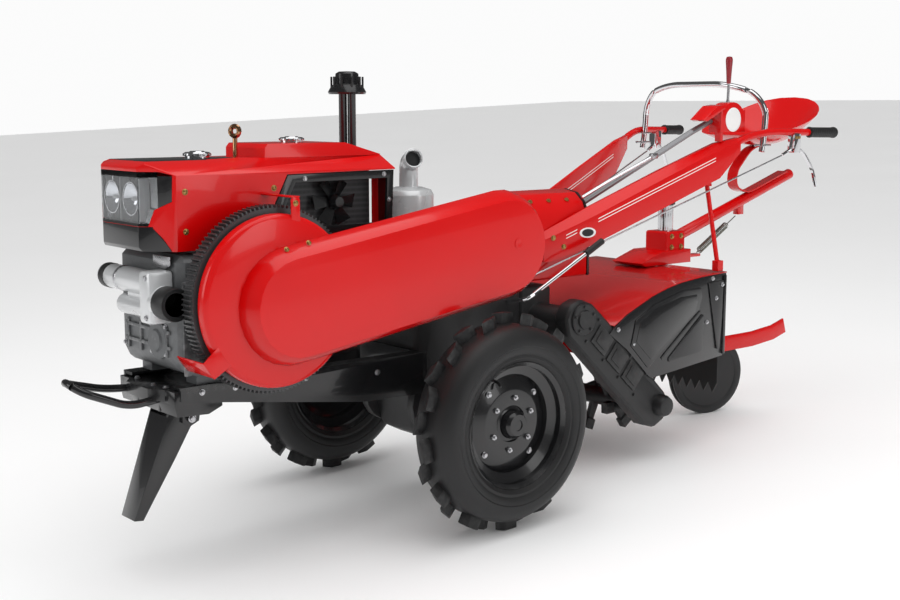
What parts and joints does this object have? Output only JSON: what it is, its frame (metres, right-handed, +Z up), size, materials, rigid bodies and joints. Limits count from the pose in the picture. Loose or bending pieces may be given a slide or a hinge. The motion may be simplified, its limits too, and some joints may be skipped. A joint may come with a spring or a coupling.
{
  "type": "walking tractor",
  "caption": "Two-wheel walking tractor: front engine with belt drive, lugged tyres, long handlebars, rotary tiller, tail wheel and ride-on pan.",
  "frame": {"origin": "centre of the bounding box on the floor, with the machine parked on its drive wheels and its tail wheel", "axes": "+Z up, +Y to the rear of the machine (handlebars and ride-on pan), -Y is the front, +X is the left-hand side with the belt guard"},
  "size_m": [1.023, 3.0308, 1.2973],
  "materials": {
    "red_paint": "gloss, high-build red enamel",
    "black_paint": "gloss black enamel",
    "cast_black": "painted casting, satin, faintly grained",
    "engine_grey": "grey painted casting, satin",
    "steel": "turned and zinc-plated steel",
    "chrome": "bright plated",
    "silver_can": "silver-white paint, semi-gloss",
    "copper_eye": "coppery plating, bright",
    "tyre_rubber": "matt rubber",
    "grip_rubber": "ribbed matt rubber",
    "lamp_lens": "clear moulded lens",
    "belt_rubber": "matt rubber",
    "spring_steel": "oiled spring steel"
  },
  "bodies": {
    "machine": {"gearbox": "cast_black", "frame": "black_paint", "tow_loop": "black_paint", "engine_block": "engine_grey", "starter_motor": "silver_can", "clutch_pulley": "steel", "drive_belt": "belt_rubber", "belt_guard": "red_paint", "guard_pan": "red_paint", "hood": "red_paint", "hood_lower_nose": "black_paint", "headlight": "lamp_lens", "fuel_cap": "chrome", "radiator_cap": "chrome", "lifting_eye": "copper_eye", "radiator": "engine_grey", "radiator_screen": "black_paint", "exhaust_pipe": "black_paint", "air_cleaner": "silver_can", "handlebar_left": "red_paint", "handlebar_right": "red_paint", "grip_left": "grip_rubber", "grip_right": "grip_rubber", "handlebar_bracket": "red_paint", "handle_hoop": "chrome", "tiller_gearbox": "cast_black", "chain_case": "cast_black", "tiller_hood": "red_paint", "tiller_shield_left": "black_paint", "tiller_shield_right": "black_paint", "rear_curtain": "grip_rubber", "column_clamp": "red_paint", "tail_column": "chrome", "pan_post": "red_paint", "return_spring": "spring_steel", "riding_pan": "red_paint", "shift_console": "red_paint", "shift_lever": "steel", "shift_tube": "steel", "squeeze_lever_left": "chrome", "squeeze_lever_right": "chrome", "steer_rod_left": "steel", "steer_rod_right": "steel", "pto_lever": "chrome", "rear_strut": "red_paint"},
    "left_wheel": {"tyre_left": "tyre_rubber", "wheel_left": "black_paint"},
    "right_wheel": {"tyre_right": "tyre_rubber", "wheel_right": "black_paint"},
    "flywheel_body": {"flywheel": "engine_grey"},
    "fan_body": {"cooling_fan": "black_paint"},
    "rotor_body": {"rotor": "cast_black"},
    "front_stand_body": {"front_stand": "black_paint"},
    "tail_fork_body": {"tail_fork": "red_paint"},
    "tail_wheel_body": {"tail_wheel": "cast_black"}
  },
  "joints": [
    {"name": "left_wheel_spin", "type": "hinge", "parent": "machine", "child": "left_wheel", "pos_m": [0.43, -0.42523, 0.31], "axis": [1, 0, 0], "continuous": true},
    {"name": "right_wheel_spin", "type": "hinge", "parent": "machine", "child": "right_wheel", "pos_m": [-0.43, -0.42523, 0.31], "axis": [1, 0, 0], "continuous": true},
    {"name": "flywheel_spin", "type": "hinge", "parent": "machine", "child": "flywheel_body", "pos_m": [0.25, -1.05229, 0.72545], "axis": [1, 0, 0], "continuous": true},
    {"name": "fan_spin", "type": "hinge", "parent": "machine", "child": "fan_body", "pos_m": [0.12, -0.74934, 0.94112], "axis": [1, 0, 0], "continuous": true},
    {"name": "tiller_rotor_spin", "type": "hinge", "parent": "machine", "child": "rotor_body", "pos_m": [0, 0.34961, 0.17723], "axis": [1, 0, 0], "continuous": true},
    {"name": "front_stand_fold", "type": "hinge", "parent": "machine", "child": "front_stand_body", "pos_m": [0, -1.20359, 0.40889], "axis": [1, 0, 0], "range_deg": [0, 100]},
    {"name": "tail_steer", "type": "hinge", "parent": "machine", "child": "tail_fork_body", "pos_m": [-0.03, 0.7676, 0.34672], "axis": [0, 0.0447, 0.999], "range_deg": [-18, 52]},
    {"name": "tail_wheel_spin", "type": "hinge", "parent": "tail_fork_body", "child": "tail_wheel_body", "pos_m": [0.02409, 0.93576, 0.147], "axis": [0.9563, -0.2921, 0.0131], "continuous": true}
  ]
}
